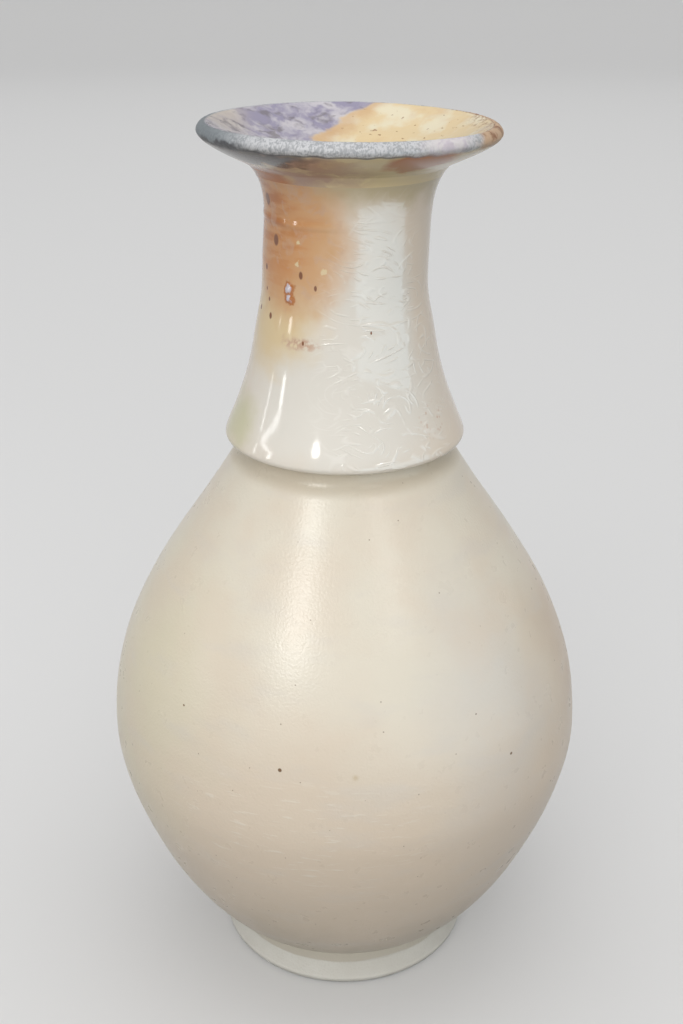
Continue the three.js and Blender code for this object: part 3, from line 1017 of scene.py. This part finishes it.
# %% The mouth's outline
def mouth_outline():
    seat = at(mouth_seat_radius, mouth_seat)
    dish_start = at(DISH_RADIUS, mouth_seat + DISH_HEIGHT)
    lip = at(lip_radius, crest - LIP_DEPTH)
    outer_crest = at(lip_radius - LIP_ROUNDING, crest)
    inner_crest = at(outer_crest.x - CREST_WIDTH, crest - CREST_BEVEL)
    inner_dish = across(dish_start, DISH_ANGLE, MOUTH_WALL)
    socket = top("neck") + JOINT_CLEARANCE
    dish_down = DISH_ANGLE - 180
    return [
        at(mouth_tongue + JOINT_CLEARANCE, mouth_seat),
        *sweep(seat, NECK_TOP_ANGLE, dish_start, DISH_ANGLE, (0.335, 0.363), 0.45),
        *sweep(dish_start, DISH_ANGLE, lip, UP, (0.7, 0.107), 0.4)[1:],
        *sweep(lip, UP, outer_crest, INWARDS, (0.37, 0.25), 0.25)[1:],
        *sweep(outer_crest, INWARDS, inner_crest, dish_down, (0.4, 0.4), 0.25)[1:],
        *sweep(inner_crest, dish_down, inner_dish, dish_down, (0.3, 0.3), 0.55)[1:],
        *sweep(inner_dish, dish_down, at(mouth_bore, socket), DOWN, (0.35, 0.35), 0.6)[1:],
        at(mouth_tongue + JOINT_CLEARANCE, socket),
    ]


# %% Turn the mouth
def crust_at(point):
    """The height of the ash crust, from 0 between the grains to 1 on them."""
    around = Vector((point.x / 0.6, point.y / 0.6, point.z / 1.1))
    grains = 0.5 + 0.5 * noise.noise(around)
    coarse = 0.5 + 0.5 * unevenness(point, 2.4)
    return min(max(0.7 * grains + 0.3 * coarse, 0), 1)


def mark_mouth(mesh):
    """Gives every point its share of inside and of lip, and the height of its crust."""
    inside = mesh.verts.layers.float.new("inside")
    lip = mesh.verts.layers.float.new("lip")
    crust = mesh.verts.layers.float.new("crust")
    mesh.normal_update()
    for vert in mesh.verts:
        point = vert.co / MM
        radius = hypot(point.x, point.y)
        outer = lip_radius - LIP_ROUNDING
        within = 1 - smooth_step(radius, outer, outer + 0.5)
        vert[inside] = smooth_step(vert.normal.z, 0.2, 0.5) * within
        wobble = 0.5 * unevenness(point, 4)
        band = smooth_step(point.z + wobble, crest - LIP_DEPTH - 2.2, crest - LIP_DEPTH - 1.2)
        vert[lip] = band * smooth_step(radius + 0.3 * wobble, outer - 1.1, outer - 0.2)
        vert[crust] = crust_at(point)


def carve_mouth(mesh):
    """Cuts the spaces between the grains of the crust, and the ring groove under the dish."""
    lip = mesh.verts.layers.float["lip"]
    crust = mesh.verts.layers.float["crust"]
    mesh.normal_update()
    depths = []
    for vert in mesh.verts:
        point = vert.co / MM
        groove = 0
        if vert.normal.z < 0:
            groove_level = mouth_seat + GROOVE_HEIGHT + GROOVE_WANDER * unevenness(point, 18)
            away = smooth_step(abs(point.z - groove_level), 0, GROOVE_HALF_WIDTH)
            groove = GROOVE_DEPTH * (1 - away)
        depths.append(CRUST_DEPTH * vert[lip] * (vert[crust] - 1) - groove)
    for vert, depth in zip(mesh.verts, depths):
        vert.co += vert.normal * depth * MM


mouth_mesh = turned(mouth_outline(), CRUST_STEPS)
mark_mouth(mouth_mesh)
carve_mouth(mouth_mesh)
mouth = section("vase_mouth", mouth_mesh, "mouth", ash_glaze())

# %% [markdown]
# ## The slip in the joints
# Between two sections lies a thin ring of slip, wiped flush and glazed over. It is turned like the
# rest, with a slight swelling, and wears the glaze of the section beside it.

# %% Turn the slip rings
SLIP_SWELL = 0.06


def slip_ring(name, node, finish, inner, lower, upper):
    """A ring between two levels whose outside runs from the lower radius to the upper one."""
    bottom = low(node)
    roof = top(node)
    middle = at((lower + upper) / 2 + SLIP_SWELL, (bottom + roof) / 2)
    outline = [at(inner, bottom), at(lower, bottom), middle, at(upper, roof), at(inner, roof)]
    return section(name, turned(outline, TURN_STEPS), node, finish)


slip_ring("vase_foot_slip", "foot_slip", satin, foot_socket, foot_top_radius, foot_top_radius)
slip_ring("vase_neck_slip", "neck_slip", satin, throat_socket, COVE_RADIUS, COVE_RADIUS)
slip_ring(
    "vase_mouth_slip", "mouth_slip", gloss, mouth_tongue + JOINT_CLEARANCE,
    NECK_TOP_RADIUS, mouth_seat_radius,
)

# %% [markdown]
# ## The studio
# The vase stands on a pale round sweep: a floor whose rim curves up into a wall, so no horizon
# shows from any side. It is one more turned outline. The camera and the glaze see it pale, but the
# light that it throws back on the vase is that of a darker table, which keeps the shade under the
# belly. An even dome of light from the world does most of the lighting, and what the camera and the
# glaze see of that dome, above the sweep, is a pale grey.

# %% Turn the sweep
SWEEP_FLOOR = 3000
SWEEP_WALL = 4200
SWEEP_HEIGHT = 1300
SWEEP_PALE = paint(222, 222, 222)
SWEEP_DARK = paint(100, 98, 94)


def seen_rays(tree):
    """1 for the rays by which the camera and the glaze see a thing, 0 for those that light it."""
    path = add(tree, "LightPath", {})
    seen = combine(tree, "MAXIMUM", path.outputs["Is Camera Ray"], path.outputs["Is Glossy Ray"])
    return combine(tree, "MAXIMUM", seen, path.outputs["Is Transmission Ray"])


def sweep_finish():
    material, tree, place = new_finish("sweep")
    shader = tree.nodes["Principled BSDF"]
    backdrop = layer(tree, seen_rays(tree), SWEEP_DARK, SWEEP_PALE)
    tree.links.new(backdrop, shader.inputs["Base Color"])
    shader.inputs["Roughness"].default_value = 0.9
    shader.inputs["Specular IOR Level"].default_value = 0.1
    return material


def make_sweep():
    floor_edge = at(SWEEP_FLOOR, 0)
    wall_top = at(SWEEP_WALL, SWEEP_HEIGHT)
    outline = [at(0, 0), *sweep(floor_edge, OUTWARDS, wall_top, UP, (0.5, 0.5), 80)]
    mesh = turned(outline, 96, closed=False)
    for face in mesh.faces:
        face.smooth = True
    data = bpy.data.meshes.new("sweep")
    mesh.to_mesh(data)
    mesh.free()
    data.materials.append(sweep_finish())
    piece = bpy.data.objects.new("sweep", data)
    scene.collection.objects.link(piece)


make_sweep()

# %% [markdown]
# ## The lights
# Besides the dome there is a large soft fill in front. All the other lights are seen only by the
# glaze: a wide window to the right, whose reflection shows the crackle, narrow strips to the left,
# a round lamp that the collar mirrors, and softer lamps above it for the sheen on the belly. A
# light's brightness here is its radiance, so a white card of that value would look the same in the
# glaze; the strength in watts follows from its size.

# %% Light the vase
DOME = 0.96
SKY_SEEN = paint(172, 172, 172)
LIGHT_TARGET = Vector((0, 0, 0.19))
DAYLIGHT = (1, 0.99, 0.97)
COOL_WINDOW = (0.6, 0.85, 1)
WHITE = (1, 1, 1)
WARM_LAMP = (1, 0.99, 0.96)


def soft_light(name, shape, place, size, brightness, tint, lights_clay=True):
    """place is azimuth and elevation in degrees and distance in metres; size is in metres."""
    light = bpy.data.lights.new(name, "AREA")
    light.shape = shape
    light.size, light.size_y = size
    area = size[0] * size[1] * (pi / 4 if shape == "ELLIPSE" else 1)
    light.energy = brightness * pi * area
    light.color = tint
    around, above, distance = place
    flat = cos(radians(above))
    direction = Vector((sin(radians(around)) * flat, -cos(radians(around)) * flat, sin(radians(above))))
    lamp = bpy.data.objects.new(name, light)
    lamp.location = LIGHT_TARGET + direction * distance
    lamp.rotation_euler = (-direction).to_track_quat("-Z", "Y").to_euler()
    lamp.visible_camera = False
    lamp.visible_diffuse = lights_clay
    scene.collection.objects.link(lamp)
    return lamp


world = bpy.data.worlds.new("dome")
world.use_nodes = True
sky = world.node_tree
sky_colour = layer(sky, seen_rays(sky), (DOME, DOME, DOME, 1), SKY_SEEN)
sky.links.new(sky_colour, sky.nodes["Background"].inputs["Color"])
scene.world = world

fill = soft_light("front_fill", "RECTANGLE", (-10, 16, 1.3), (1.6, 0.8), 2.2, DAYLIGHT)
fill.visible_glossy = False
soft_light("window", "RECTANGLE", (48, -8.6, 0.4), (0.54, 0.26), 2.0, COOL_WINDOW, False)
soft_light("strip", "RECTANGLE", (-74, 7, 1.0), (0.07, 0.145), 8, WHITE, False)
soft_light("strip_edge", "RECTANGLE", (-92, 5.7, 1.0), (0.025, 0.157), 6, WHITE, False)
soft_light("strip_foot", "RECTANGLE", (-80, 12.6, 1.0), (0.3, 0.03), 6, WHITE, False)
soft_light("round_lamp", "ELLIPSE", (-29, 26.3, 2.5), (0.42, 0.4), 16, WARM_LAMP, False)
soft_light("upper_lamp", "ELLIPSE", (-31, 33.5, 2.5), (0.42, 0.4), 36, WARM_LAMP, False)
soft_light("lamp_glow", "ELLIPSE", (-31, 42, 2.5), (0.4, 0.6), 8, WARM_LAMP, False)
soft_light("side_lamp", "ELLIPSE", (34, 39, 2.5), (0.5, 0.4), 12, WARM_LAMP, False)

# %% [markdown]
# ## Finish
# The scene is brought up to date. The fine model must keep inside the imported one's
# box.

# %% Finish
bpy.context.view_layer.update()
